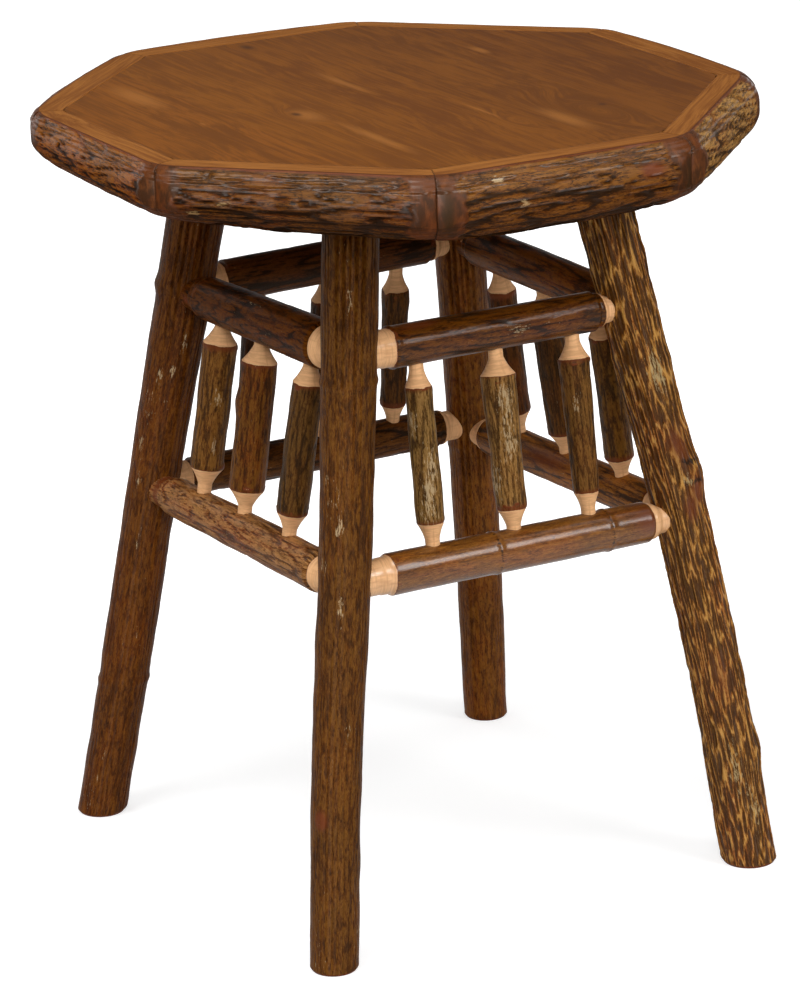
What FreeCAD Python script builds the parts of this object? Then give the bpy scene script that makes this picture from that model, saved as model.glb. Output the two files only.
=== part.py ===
import FreeCAD, Part
import math
import os
from FreeCAD import Placement, Rotation, Vector

# Octagonal rustic table of bark-on hickory poles.
# Millimetres. The origin is on the floor under the middle of the top, +Z is up, and -Y is the front.
# Four splayed legs stand under every other side of the top: front, left, back and right. An upper and
# a lower rail join each leg to the next, and three sharpened spindles stand between each pair of rails.
# The top is five edge-glued boards framed by eight half logs, on two bearers that cross under it.

os.makedirs("parts", exist_ok=True)

UP = Vector(0, 0, 1)

# ---- Driving dimensions ----

TABLE_HEIGHT = 762.0

# Top boards
PANEL_FLATS = 582.0  # across the flats of the octagon of boards
BOARD_THICKNESS = 22.0
BOARD_WIDTHS = [116.0, 112.0, 105.0, 110.0]  # the fifth board takes what is left
BOARD_AZIMUTH = 45.0  # direction across the boards

# Half logs of the rim
RIM_LOG_DIAMETER = 68.0
RIM_LOG_DROP = 28.0  # centre of the log below the top
RIM_BORDER = 25.0  # flat strip that the saw leaves on top of each log
RIM_CORNER_RADIUS = 95.0  # corners sanded round in plan
RIM_BULGE_MARGIN = 1.0  # the sander only reaches the corners

# How the logs depart from the even log at each corner, anticlockwise from the one between the right
# and the back right side, so that neighbours match where they meet: diameter, drop and border
RIM_CORNERS = [
    (1.0, 1.5, 0.5),
    (2.0, 4.0, 1.5),
    (0.0, 2.0, -1.0),
    (0.0, 3.0, 4.0),
    (-11.0, -8.0, 0.0),
    (-7.0, -5.5, 0.0),
    (0.0, 0.0, 0.0),
    (0.0, 0.0, 0.0),
]
# How much thicker a crooked log is in its middle, and how much lower it hangs and wider its border is there
RIM_BELLIES = {
    "right": (5.0, 1.5, 0.0),
    "back_right": (2.0, 0.0, 8.5),
    "back_left": (2.0, 0.0, 12.0),
    "left": (2.0, 0.0, 8.0),
    "front_left": (8.0, 1.5, 0.0),
    "front": (8.0, 1.5, 0.0),
    "front_right": (9.0, 3.5, 0.0),
}

# Dowels between the boards and the rim
DOWEL_DIAMETER = 8.0
DOWEL_LENGTH = 30.0
DOWEL_SPACING = 130.0

# Bearers under the boards
BEARER_WIDTH = 68.0
BEARER_THICKNESS = 34.0
BEARER_END = 48.0  # beyond the middle of the leg's head
BEARER_SLOPE = 14.0  # how far the end slopes back at its underside

# Screws that hold the bearers to the boards, from the middle of the cross outwards
SCREW_PLACES = [75.0, 140.0]
SCREW_LENGTH = 44.0
SCREW_HEAD_DIAMETER = 9.0
SCREW_SHANK_DIAMETER = 4.8
SCREW_HEAD_HEIGHT = 3.0
SCREW_TIP = 7.0
SCREW_POINT = 0.6  # radius at the very tip

# Legs
FOOT_RADIUS = 336.0  # from the middle of the table to the middle of a foot
HEAD_RADIUS = 190.0  # the same at the shoulder under the bearer
LEG_TENON_DIAMETER = 32.0
LEG_TENON_LENGTH = 27.0
FOOT_BEVEL = 2.5

# Rails
UPPER_RAIL_DROP = 200.0  # from the top of the table to the axis of the upper rail
RAIL_SPACING = 208.0  # from the upper axis to the lower
RAIL_BARK_SETBACK = 40.0  # from the axis of the leg to the end of the bark
RAIL_SHOULDER = 10.0  # length of the peeled shoulder
RAIL_SHOULDER_DOME = 1.5  # the shoulder swells over its chord
BARK_CHAMFER = 2.5  # the cutter bevels the end of a rail's bark

# Spindles
SPINDLE_NECK_DIAMETER = 14.0
SPINDLE_BARK_SETBACK = 42.0  # from the axis of the rail to the start of the sharpened end
SPINDLE_CONE = 17.0  # length of the sharpened end
SPINDLE_CONE_HOLLOW = 0.9  # the sharpened end dips under its chord
SPINDLE_TENON_PAST_AXIS = 4.0

# Clearances
JOINT_CLEARANCE = 0.15  # round a tenon, dowel or screw, on the radius
TIP_CLEARANCE = 0.8  # at the bottom of a blind hole
MITRE_CLEARANCE = 0.25  # from each rail tenon to the plane where two of them meet
LAP_CLEARANCE = 0.2  # each side of the cross lap

# Each leg: the direction it leans out, how its foot and head depart from the even layout, outwards and
# sideways, how its pole bends off a straight line at its three quarter points, outwards and sideways,
# and its diameters at the foot, the middle and the head
LEGS = {
    "front": {
        "azimuth": -90.0,
        "foot": (-3.0, 16.3),
        "head": (0.0, 14.0),
        "bends_out": (0.0, 0.0, 0.0),
        "bends_aside": (-2.2, 1.6, 1.4),
        "diameters": (47.0, 50.5, 55.0),
    },
    "right": {
        "azimuth": 0.0,
        "foot": (6.2, 3.6),
        "head": (4.0, 3.0),
        "bends_out": (8.2, 9.2, 4.0),
        "bends_aside": (0.0, 0.0, 0.0),
        "diameters": (55.0, 54.0, 57.0),
    },
    "back": {
        "azimuth": 90.0,
        "foot": (1.0, 16.0),
        "head": (0.0, -2.5),
        "bends_out": (0.0, 0.0, 0.0),
        "bends_aside": (-2.1, -3.0, -2.1),
        "diameters": (47.0, 50.5, 54.0),
    },
    "left": {
        "azimuth": 180.0,
        "foot": (-3.5, 6.5),
        "head": (-3.0, 3.6),
        "bends_out": (-0.3, 0.8, 0.2),
        "bends_aside": (0.0, 0.0, 0.0),
        "diameters": (50.0, 52.0, 59.0),
    },
}

# Each side of the frame: the two legs it joins, then for each rail four pairs of values, which are its
# diameter, the diameter of the neck that enters the leg, its lift over the even height and its added
# bark setback, each at its start and its end. Each spindle has its diameter at the bottom and the top,
# its places along the lower and the upper rail, and how far it sits above the even height.
SIDES = {
    "front_left": {
        "legs": ("left", "front"),
        "upper": ((43.0, 47.5), (34.0, 36.0), (-3.0, 3.0), (8.0, 1.0)),
        "lower": ((40.0, 41.5), (32.0, 33.0), (0.0, 2.5), (9.0, 0.0)),
        "spindles": [
            (34.0, 35.5, 0.272, 0.254, 3.0),
            (36.0, 36.0, 0.488, 0.498, 1.0),
            (31.5, 31.5, 0.714, 0.796, 0.0),
        ],
    },
    "front_right": {
        "legs": ("front", "right"),
        "upper": ((40.5, 39.0), (35.0, 27.0), (3.0, 0.0), (0.0, 0.5)),
        "lower": ((40.5, 40.5), (34.0, 28.0), (2.3, 0.0), (2.0, 0.0)),
        "spindles": [
            (27.8, 27.2, 0.260, 0.226, 0.0),
            (30.0, 34.3, 0.499, 0.507, -2.0),
            (26.5, 31.0, 0.722, 0.786, 0.0),
        ],
    },
    "back_right": {
        "legs": ("right", "back"),
        "upper": ((40.0, 41.0), (31.0, 32.0), (-1.5, 0.0), (0.5, 2.0)),
        "lower": ((40.0, 39.5), (30.0, 30.0), (-1.5, -7.0), (0.0, 0.0)),
        "spindles": [
            (31.0, 30.0, 0.258, 0.172, -2.0),
            (33.0, 33.5, 0.517, 0.505, 0.0),
            (30.0, 30.0, 0.748, 0.764, 2.0),
        ],
    },
    "back_left": {
        "legs": ("back", "left"),
        "upper": ((41.5, 43.0), (32.0, 33.0), (1.0, -3.0), (0.0, 1.5)),
        "lower": ((40.0, 38.5), (31.0, 30.0), (0.0, 1.5), (4.0, 0.0)),
        "spindles": [
            (28.0, 28.0, 0.255, 0.234, -3.0),
            (30.0, 30.0, 0.484, 0.490, 0.0),
            (30.0, 30.0, 0.712, 0.731, 0.0),
        ],
    },
}

SIDE_NAMES = ["right", "back_right", "back", "back_left", "left", "front_left", "front", "front_right"]

# ---- Worked-out values ----

SIDES_OF_OCTAGON = 8
SIDE_TURN = 360.0 / SIDES_OF_OCTAGON
APOTHEM = PANEL_FLATS / 2
CORNER_STRETCH = 1 / math.cos(math.radians(SIDE_TURN / 2))  # corner radius of an octagon over its apothem
LEG_STATIONS = [-0.04, 0.0, 0.17, 0.33, 0.5, 0.67, 0.83, 1.0, 1.04]  # shares of a leg's height that shape it
RIM_STATIONS = [-0.15, 0.0, 0.25, 0.5, 0.75, 1.0, 1.15]  # shares of a rim log's length that shape it
BOARD_UNDERSIDE = TABLE_HEIGHT - BOARD_THICKNESS
SHOULDER_HEIGHT = BOARD_UNDERSIDE - BEARER_THICKNESS
UPPER_RAIL_HEIGHT = TABLE_HEIGHT - UPPER_RAIL_DROP
LOWER_RAIL_HEIGHT = UPPER_RAIL_HEIGHT - RAIL_SPACING
FAR = 2 * (TABLE_HEIGHT + PANEL_FLATS + FOOT_RADIUS)  # larger than anything in the table
NEAR = 1.0  # closer than this counts as the same place


def export(shape, node):
    shape.exportStep(f"parts/{node}.step")


def direction(azimuth):
    """Unit vector in plan, counted from +X towards +Y."""
    angle = math.radians(azimuth)
    return Vector(math.cos(angle), math.sin(angle), 0)


def through(values, share):
    """Smooth curve through evenly spaced values, read at a share of its length."""
    last = len(values) - 1
    piece = min(max(int(share * last), 0), last - 1)
    before, start, end, after = [values[min(max(piece + step, 0), last)] for step in (-1, 0, 1, 2)]
    t = share * last - piece
    leaving = (end - before) / 2
    arriving = (after - start) / 2
    blend = t * t * (3 - 2 * t)
    return start + (end - start) * blend + leaving * t * (1 - t) ** 2 - arriving * t * t * (1 - t)


def turned(outline, base, axis):
    """Solid of revolution standing at base along axis.

    The outline's points are (radius, distance, rise). The edge that leads to a point is an arc that
    stands off its chord by rise, outwards where that is positive, or straight where it is zero.
    """
    corners = [Vector(radius, 0, distance) for radius, distance, rise in outline]
    edges = []
    for start, end, (radius, distance, rise) in zip(corners, corners[1:], outline[1:]):
        outwards = Vector(end.z - start.z, 0, start.x - end.x).normalize()
        if rise:
            edges.append(Part.Arc(start, (start + end) / 2 + outwards * rise, end).toShape())
        else:
            edges.append(Part.makeLine(start, end))
    closing = [corners[-1], Vector(0, 0, corners[-1].z), Vector(0, 0, corners[0].z), corners[0]]
    edges += Part.makePolygon(closing).Edges
    solid = Part.Face(Part.Wire(edges)).revolve(Vector(), UP, 360)
    solid.Placement = Placement(base, Rotation(UP, axis))
    return solid


def rod(radius, start, end):
    return Part.makeCylinder(radius, (end - start).Length, start, end - start)


def prism(outline, bottom, top):
    """Upright prism on a plan outline."""
    corners = [Vector(corner.x, corner.y, bottom) for corner in outline]
    return Part.Face(Part.makePolygon(corners + corners[:1])).extrude(UP * (top - bottom))


def block(middle, along, width, length, bottom, top):
    """Upright rectangular block, with its length along a level direction."""
    half_length = along * (length / 2)
    half_width = UP.cross(along) * (width / 2)
    start = middle - half_length
    end = middle + half_length
    return prism([start - half_width, end - half_width, end + half_width, start + half_width], bottom, top)


def half_space(point, normal):
    """A very large block that starts at point and lies on the side that normal points to."""
    solid = Part.makeBox(FAR, FAR, FAR, Vector(-FAR / 2, -FAR / 2, 0))
    solid.Placement = Placement(point, Rotation(UP, normal))
    return solid


# ---- Legs ----


def leg_centre(leg, height):
    """Middle of a leg's pole at a height: a straight lean from foot to head, and the pole's own bends."""
    values = LEGS[leg]
    out = direction(values["azimuth"])
    aside = UP.cross(out)
    share = height / SHOULDER_HEIGHT
    foot_out, foot_aside = values["foot"]
    head_out, head_aside = values["head"]
    lean = FOOT_RADIUS + foot_out + (HEAD_RADIUS + head_out - FOOT_RADIUS - foot_out) * share
    drift = foot_aside + (head_aside - foot_aside) * share
    lean += through((0.0, *values["bends_out"], 0.0), share)
    drift += through((0.0, *values["bends_aside"], 0.0), share)
    return out * lean + aside * drift + UP * height


def leg_axis(leg):
    return (leg_centre(leg, SHOULDER_HEIGHT) - leg_centre(leg, 0)).normalize()


def leg_tenon(leg, grown=0.0):
    """Round tenon on a leg's head, cut level, or the hole for it when grown by the clearance."""
    head = leg_centre(leg, SHOULDER_HEIGHT)
    axis = leg_axis(leg)
    tip = SHOULDER_HEIGHT + LEG_TENON_LENGTH + (TIP_CLEARANCE if grown else 0.0)
    radius = LEG_TENON_DIAMETER / 2 + grown
    pin = rod(radius, head - axis * LEG_TENON_LENGTH, head + axis * 2 * LEG_TENON_LENGTH)
    return pin.cut(half_space(UP * tip, UP))


def leg(name):
    """Tapered, slightly bent pole, cut level and bevelled at its foot, with a tenon on its head."""
    axis = leg_axis(name)
    rings = []
    for share in LEG_STATIONS:
        radius = through(LEGS[name]["diameters"], share) / 2
        centre = leg_centre(name, SHOULDER_HEIGHT * share)
        rings.append(Part.Wire(Part.Circle(centre, axis, radius).toShape()))
    pole = Part.makeLoft(rings, True, False).cut(half_space(UP * SHOULDER_HEIGHT, UP))
    sole = LEGS[name]["diameters"][0] / 2 - FOOT_BEVEL
    bevel = Part.makeCone(sole, sole + TABLE_HEIGHT, TABLE_HEIGHT, leg_centre(name, 0))
    return pole.common(bevel).fuse(leg_tenon(name))


# ---- Rails ----


def rail_line(side, level):
    """The two points on the legs' own axes that a rail runs between."""
    even = UPPER_RAIL_HEIGHT if level == "upper" else LOWER_RAIL_HEIGHT
    _, _, lifts, _ = SIDES[side][level]
    return [leg_centre(leg, even + lift) for leg, lift in zip(SIDES[side]["legs"], lifts)]


def rail_pole(side, level):
    """Bark-on pole with a bevelled bark end, a domed peeled shoulder and a round neck at each end."""
    start, end = rail_line(side, level)
    diameters, necks, _, setbacks = SIDES[side][level]
    first_bark, second_bark = [diameter / 2 for diameter in diameters]
    first_neck, second_neck = [diameter / 2 for diameter in necks]
    first_setback, second_setback = setbacks
    length = (end - start).Length
    first_end = RAIL_BARK_SETBACK + first_setback
    second_end = length - RAIL_BARK_SETBACK - second_setback
    outline = [
        (first_neck, TIP_CLEARANCE, 0.0),
        (first_neck, first_end - RAIL_SHOULDER, 0.0),
        (first_bark - BARK_CHAMFER, first_end, RAIL_SHOULDER_DOME),
        (first_bark, first_end + BARK_CHAMFER, 0.0),
        (second_bark, second_end - BARK_CHAMFER, 0.0),
        (second_bark - BARK_CHAMFER, second_end, 0.0),
        (second_neck, second_end + RAIL_SHOULDER, RAIL_SHOULDER_DOME),
        (second_neck, length - TIP_CLEARANCE, 0.0),
    ]
    return turned(outline, start, end - start)


def mitre_cutter(leg, towards):
    """Cuts a rail's tenon off at the upright plane through its leg, where the tenons of two rails meet."""
    out = direction(LEGS[leg]["azimuth"])
    away = leg_axis(leg).cross(out).normalize()
    if away.dot(towards) > 0:
        away = -away
    middle = leg_centre(leg, (UPPER_RAIL_HEIGHT + LOWER_RAIL_HEIGHT) / 2)
    return half_space(middle - away * MITRE_CLEARANCE, away)


def rail_mortise(side, level, place):
    """Round blind hole in a leg for one end of a rail: place 0 is the rail's start and 1 its end."""
    line = rail_line(side, level)
    start, end = line[place], line[1 - place]
    inward = (end - start).normalize()
    _, necks, _, _ = SIDES[side][level]
    radius = necks[place] / 2 + JOINT_CLEARANCE
    return rod(radius, start, start + inward * 2 * RAIL_BARK_SETBACK)


# ---- Spindles ----


def spindle_line(side, number):
    """The two points on the rails' axes that a spindle runs between, from the lower one to the upper."""
    shares = SIDES[side]["spindles"][number][2:4]
    ends = []
    for level, share in zip(("lower", "upper"), shares):
        start, end = rail_line(side, level)
        ends.append(start + (end - start) * share)
    return ends


def spindle(side, number):
    """Bark-on stick sharpened at both ends to a round neck that enters the rails."""
    bottom_diameter, top_diameter, _, _, lift = SIDES[side]["spindles"][number]
    bottom, top = spindle_line(side, number)
    length = (top - bottom).Length
    neck = SPINDLE_NECK_DIAMETER / 2
    low_bark = SPINDLE_BARK_SETBACK + lift
    high_bark = length - SPINDLE_BARK_SETBACK + lift
    outline = [
        (neck, -SPINDLE_TENON_PAST_AXIS, 0.0),
        (neck, low_bark - SPINDLE_CONE, 0.0),
        (bottom_diameter / 2, low_bark, -SPINDLE_CONE_HOLLOW),
        (top_diameter / 2, high_bark, 0.0),
        (neck, high_bark + SPINDLE_CONE, -SPINDLE_CONE_HOLLOW),
        (neck, length + SPINDLE_TENON_PAST_AXIS, 0.0),
    ]
    return turned(outline, bottom, top - bottom)


def spindle_holes(side, level):
    """Blind holes in a rail for the necks and the cones' tips of its three spindles."""
    holes = []
    for number in range(len(SIDES[side]["spindles"])):
        bottom, top = spindle_line(side, number)
        start, end = (top, bottom) if level == "upper" else (bottom, top)
        inward = (end - start).normalize()
        radius = SPINDLE_NECK_DIAMETER / 2 + JOINT_CLEARANCE
        floor = start - inward * (SPINDLE_TENON_PAST_AXIS + TIP_CLEARANCE)
        holes.append(rod(radius, floor, start + inward * SPINDLE_BARK_SETBACK))
    return holes


# ---- Top ----


def dowel(azimuth, sideways, grown=0.0):
    """Round pin half in the boards and half in a rim log."""
    out = direction(azimuth)
    middle = out * APOTHEM + UP.cross(out) * sideways + UP * (TABLE_HEIGHT - BOARD_THICKNESS / 2)
    half = DOWEL_LENGTH / 2 + (TIP_CLEARANCE if grown else 0.0)
    return rod(DOWEL_DIAMETER / 2 + grown, middle - out * half, middle + out * half)


def dowels(grown=0.0):
    return [
        dowel(side * SIDE_TURN, sideways, grown)
        for side in range(SIDES_OF_OCTAGON)
        for sideways in (-DOWEL_SPACING / 2, DOWEL_SPACING / 2)
    ]


def rim_circle(side, share):
    """A rim log's radius, and its centre's distance out and height, at a share of its length."""
    ends = zip(RIM_CORNERS[side - 1], RIM_CORNERS[side])
    diameter, drop, border = [start + (end - start) * share for start, end in ends]
    thicker, lower, wider = RIM_BELLIES.get(SIDE_NAMES[side], (0.0, 0.0, 0.0))
    belly = 4 * share * (1 - share)
    radius = (RIM_LOG_DIAMETER + diameter + thicker * belly) / 2
    drop += RIM_LOG_DROP + lower * belly
    border += RIM_BORDER + wider * belly
    return radius, APOTHEM + border - math.sqrt(radius**2 - drop**2), TABLE_HEIGHT - drop


def rim_reach(side, share):
    radius, out, height = rim_circle(side, share)
    return out + radius


def rim_log(side):
    """Tapered log with its top and its inner face sawn flat, and mitred at both ends."""
    out = direction(side * SIDE_TURN)
    along = UP.cross(out)
    length = 2 * rim_reach(side, 0.5) * math.tan(math.radians(SIDE_TURN / 2))
    rings = []
    for share in RIM_STATIONS:
        radius, centre_out, height = rim_circle(side, share)
        centre = out * centre_out + along * ((share - 0.5) * length) + UP * height
        rings.append(Part.Wire(Part.Circle(centre, along, radius).toShape()))
    log = Part.makeLoft(rings, True, False)
    starting, ending = [direction((side + turn) * SIDE_TURN) * CORNER_STRETCH for turn in (-0.5, 0.5)]
    wedge = [starting * APOTHEM, starting * FAR, ending * FAR, ending * APOTHEM]
    return log.common(prism(wedge, 0, TABLE_HEIGHT))


def sanding_form():
    """The rounded octagon in plan that the sander leaves round the rim."""
    outline = []
    for side in range(SIDES_OF_OCTAGON):
        middle = rim_reach(side, 0.5) + RIM_BULGE_MARGIN
        corner = rim_reach(side, 1.0) + RIM_BULGE_MARGIN
        outline.append(direction(side * SIDE_TURN) * middle)
        outline.append(direction((side + 0.5) * SIDE_TURN) * corner * CORNER_STRETCH)
    form = prism(outline, 0, TABLE_HEIGHT)
    corners = outline[1::2]
    upright = []
    for edge in form.Edges:
        if edge.BoundBox.ZLength > TABLE_HEIGHT / 2:
            foot = Vector(edge.CenterOfMass.x, edge.CenterOfMass.y, 0)
            if min((foot - corner).Length for corner in corners) < NEAR:
                upright.append(edge)
    return form.makeFillet(RIM_CORNER_RADIUS, upright)


def top_boards():
    """The octagon cut into boards that lie edge to edge."""
    across = direction(BOARD_AZIMUTH)
    along = UP.cross(across)
    corners = [
        direction((side + 0.5) * SIDE_TURN) * APOTHEM * CORNER_STRETCH for side in range(SIDES_OF_OCTAGON)
    ]
    octagon = prism(corners, BOARD_UNDERSIDE, TABLE_HEIGHT)
    widths = BOARD_WIDTHS + [PANEL_FLATS - sum(BOARD_WIDTHS)]
    edge = -APOTHEM
    boards = []
    for width in widths:
        middle = across * (edge + width / 2)
        strip = block(middle, along, width, 2 * PANEL_FLATS, BOARD_UNDERSIDE, TABLE_HEIGHT)
        boards.append(octagon.common(strip))
        edge += width
    return boards


# ---- Bearers ----


def bearer_line(first, second):
    """Middle, level direction and length of the bearer that joins the heads of two legs."""
    start = leg_centre(first, SHOULDER_HEIGHT)
    end = leg_centre(second, SHOULDER_HEIGHT)
    middle = (start + end) / 2
    along = (end - start).normalize()
    return Vector(middle.x, middle.y, 0), along, (end - start).Length + 2 * BEARER_END


def crossing():
    """Point in plan where the two bearers cross."""
    first_middle, first_along, _ = bearer_line("front", "back")
    second_middle, second_along, _ = bearer_line("left", "right")
    gap = second_middle - first_middle
    share = gap.cross(second_along).z / first_along.cross(second_along).z
    return first_middle + first_along * share


def bearer(first, second, other_pair, lap_bottom, lap_top):
    """Batten with ends that slope back underneath, halved where it crosses the other one."""
    middle, along, length = bearer_line(first, second)
    across = UP.cross(along)
    half = length / 2
    side_view = [
        middle - along * half + UP * BOARD_UNDERSIDE,
        middle + along * half + UP * BOARD_UNDERSIDE,
        middle + along * (half - BEARER_SLOPE) + UP * SHOULDER_HEIGHT,
        middle - along * (half - BEARER_SLOPE) + UP * SHOULDER_HEIGHT,
    ]
    face = Part.Face(Part.makePolygon(side_view + side_view[:1]))
    face.translate(across * (-BEARER_WIDTH / 2))
    batten = face.extrude(across * BEARER_WIDTH)
    other_middle, other_along, other_length = bearer_line(*other_pair)
    lap_width = BEARER_WIDTH + 2 * LAP_CLEARANCE
    lap = block(other_middle, other_along, lap_width, other_length, lap_bottom, lap_top)
    mortises = [leg_tenon(leg_name, JOINT_CLEARANCE) for leg_name in (first, second)]
    return batten.cut([lap] + mortises)


def screw(place, grown=0.0):
    """Countersunk wood screw driven up through a bearer, or its hole when grown by the clearance."""
    head = SCREW_HEAD_DIAMETER / 2 + grown
    shank = SCREW_SHANK_DIAMETER / 2 + grown
    tip_length = SCREW_LENGTH + (TIP_CLEARANCE if grown else 0.0)
    outline = [
        (head, 0.0, 0.0),
        (shank, SCREW_HEAD_HEIGHT, 0.0),
        (shank, SCREW_LENGTH - SCREW_TIP, 0.0),
        (SCREW_POINT, tip_length, 0.0),
    ]
    return turned(outline, place + UP * SHOULDER_HEIGHT, UP)


def screw_places():
    middle = crossing()
    places = []
    for pair in (("front", "back"), ("left", "right")):
        along = bearer_line(*pair)[1]
        for distance in SCREW_PLACES:
            places += [middle + along * distance, middle - along * distance]
    return places


# ---- Build ----

for leg_name in LEGS:
    holes = []
    for side_name, side_values in SIDES.items():
        if leg_name in side_values["legs"]:
            place = side_values["legs"].index(leg_name)
            holes += [rail_mortise(side_name, level, place) for level in ("upper", "lower")]
    export(leg(leg_name).cut(holes), f"leg_{leg_name}")

for side_name, side_values in SIDES.items():
    for level in ("upper", "lower"):
        start, end = rail_line(side_name, level)
        towards = (end - start).normalize()
        first_leg, second_leg = side_values["legs"]
        cutters = [mitre_cutter(first_leg, towards), mitre_cutter(second_leg, -towards)]
        rail = rail_pole(side_name, level).cut(cutters + spindle_holes(side_name, level))
        export(rail, f"rail_{level}_{side_name}")
    for number in range(len(side_values["spindles"])):
        export(spindle(side_name, number), f"spindle_{side_name}_{number + 1}")

dowel_holes = dowels(JOINT_CLEARANCE)
screw_holes = [screw(place, JOINT_CLEARANCE) for place in screw_places()]
sanded = sanding_form()

for side in range(SIDES_OF_OCTAGON):
    log = rim_log(side).common(sanded).cut(dowel_holes)
    export(log, f"rim_log_{SIDE_NAMES[side]}")

for number, board in enumerate(top_boards(), start=1):
    export(board.cut(dowel_holes + screw_holes), f"top_board_{number}")

lap_height = (BOARD_UNDERSIDE + SHOULDER_HEIGHT) / 2
lower_bearer = bearer("left", "right", ("front", "back"), lap_height, BOARD_UNDERSIDE)
upper_bearer = bearer("front", "back", ("left", "right"), SHOULDER_HEIGHT, lap_height)
export(lower_bearer.cut(screw_holes), "bearer_left_right")
export(upper_bearer.cut(screw_holes), "bearer_front_back")

export(Part.makeCompound(dowels()), "rim_dowels")
export(Part.makeCompound([screw(place) for place in screw_places()]), "bearer_screws")
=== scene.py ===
import math
import bmesh
import bpy
import numpy as np
from mathutils import Matrix, Vector
from mathutils.bvhtree import BVHTree


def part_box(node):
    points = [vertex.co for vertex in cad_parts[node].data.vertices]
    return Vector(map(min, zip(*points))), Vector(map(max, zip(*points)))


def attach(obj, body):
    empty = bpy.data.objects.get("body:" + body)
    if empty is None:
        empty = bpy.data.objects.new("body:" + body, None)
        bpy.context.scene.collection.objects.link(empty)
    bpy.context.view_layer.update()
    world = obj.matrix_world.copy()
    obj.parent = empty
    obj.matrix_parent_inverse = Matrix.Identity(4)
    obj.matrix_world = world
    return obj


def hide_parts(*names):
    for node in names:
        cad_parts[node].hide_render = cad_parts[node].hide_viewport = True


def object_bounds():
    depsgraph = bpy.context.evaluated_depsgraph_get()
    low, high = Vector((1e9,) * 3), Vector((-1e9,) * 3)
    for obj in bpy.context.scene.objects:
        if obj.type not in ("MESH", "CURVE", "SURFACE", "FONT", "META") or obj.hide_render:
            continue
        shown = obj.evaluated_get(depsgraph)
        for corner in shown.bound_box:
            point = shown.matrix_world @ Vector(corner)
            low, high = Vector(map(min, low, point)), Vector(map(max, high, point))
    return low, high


# Octagonal rustic table of bark-on hickory poles, in metres. +Z is up and -Y is the front.

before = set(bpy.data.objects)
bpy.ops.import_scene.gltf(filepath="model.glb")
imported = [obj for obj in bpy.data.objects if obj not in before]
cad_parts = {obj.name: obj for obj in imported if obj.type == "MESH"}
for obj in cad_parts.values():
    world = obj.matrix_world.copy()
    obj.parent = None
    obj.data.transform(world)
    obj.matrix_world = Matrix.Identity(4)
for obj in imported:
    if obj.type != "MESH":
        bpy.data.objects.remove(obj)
cad_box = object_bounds()

MM = 0.001
UP = Vector((0, 0, 1))
TOP = 0.762
FACE = np.array((0.2846, -0.9586, 0.0))  # level direction from the table to whoever looks at its front
SIDE = np.array((0.9586, 0.2846, 0.0))

# ---- Reading the solids ----

REACH = 0.09  # outside any pole, measured from its middle
SPOKES = 36  # directions in which a pole's girth is measured
NEARLY_FULL = 0.93  # share of the furthest distance below which a point is surely in a hole
HOLE_DEPTH = 0.4 * MM  # a point further in than this is taken to be in a hole
AXIS_SHARES = (0.16, 0.2, 0.38, 0.44, 0.56, 0.62, 0.8, 0.84)  # where a turned pole's middle is measured
UPRIGHT = 0.5  # how far a direction rises before its pole counts as a spindle


def skin(node):
    """The surface of a solid, ready to be probed."""
    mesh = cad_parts[node].data
    return BVHTree.FromPolygons([v.co for v in mesh.vertices], [p.vertices for p in mesh.polygons])


def corners_of(node):
    return np.array([v.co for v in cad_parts[node].data.vertices])


def fan(across, sideways, count):
    """Directions all round a pole, and their angles."""
    turns = np.linspace(0, 2 * math.pi, count, endpoint=False)
    return turns, np.outer(np.cos(turns), across) + np.outer(np.sin(turns), sideways)


def girth(tree, middle, spokes):
    """Distances from a point inside a pole out to its surface, probed from outside."""
    found = np.full(len(spokes), np.nan)
    for number, spoke in enumerate(spokes):
        outwards = Vector(spoke)
        hit = tree.ray_cast(Vector(middle) + outwards * REACH, -outwards, REACH)[3]
        if hit is not None:
            found[number] = REACH - hit
    return found


def outline(turns, distances):
    """Even outline through probed distances, over the mouths of holes: radius, shift and ovalness."""
    waves = [wave(count * turns) for count in (1, 2) for wave in (np.cos, np.sin)]
    terms = np.array([np.ones_like(turns), *waves]).T
    seen = np.nan_to_num(distances) > NEARLY_FULL * np.nanmax(distances)
    for _ in range(3):
        weights = np.linalg.lstsq(terms[seen], distances[seen], rcond=None)[0]
        seen = np.nan_to_num(distances) > terms @ weights - HOLE_DEPTH
    return weights


def straight_axis(node, tree):
    """Start, direction and length of a turned pole's axis."""
    points = corners_of(node)
    middle = points.mean(0)
    along = np.linalg.svd(points - middle, full_matrices=False)[2][0]
    if along[2] < -UPRIGHT or (abs(along[2]) <= UPRIGHT and along[0] < 0):
        along = -along
    for _ in range(3):
        across = np.cross(along, (0, 0, 1) if abs(along[2]) < 0.9 else (1, 0, 0))
        across /= np.linalg.norm(across)
        sideways = np.cross(along, across)
        turns, spokes = fan(across, sideways, SPOKES)
        reach = (points - middle) @ along
        middles = []
        for share in AXIS_SHARES:
            place = middle + along * (reach.min() + (reach.max() - reach.min()) * share)
            _, right, left, _, _ = outline(turns, girth(tree, place, spokes))
            middles.append(place + across * right + sideways * left)
        middles = np.array(middles)
        middle = middles.mean(0)
        fitted = np.linalg.svd(middles - middle, full_matrices=False)[2][0]
        along = fitted * np.sign(fitted @ along)
    reach = (points - middle) @ along
    return middle + along * reach.min(), along, reach.max() - reach.min()


# ---- Relief of the bark ----

RIPPLE_SPREAD = 0.18  # how unevenly ridges are spaced
SWELL_LENGTH, SWELL_WIDTH, SWELL_HEIGHT = 30 * MM, 18 * MM, 0.3
PATCH_LENGTH = 40 * MM  # of the stretches where the ridges are weak


def smooth_step(low, high, value):
    share = np.clip((value - low) / (high - low), 0, 1)
    return share * share * (3 - 2 * share)


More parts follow.
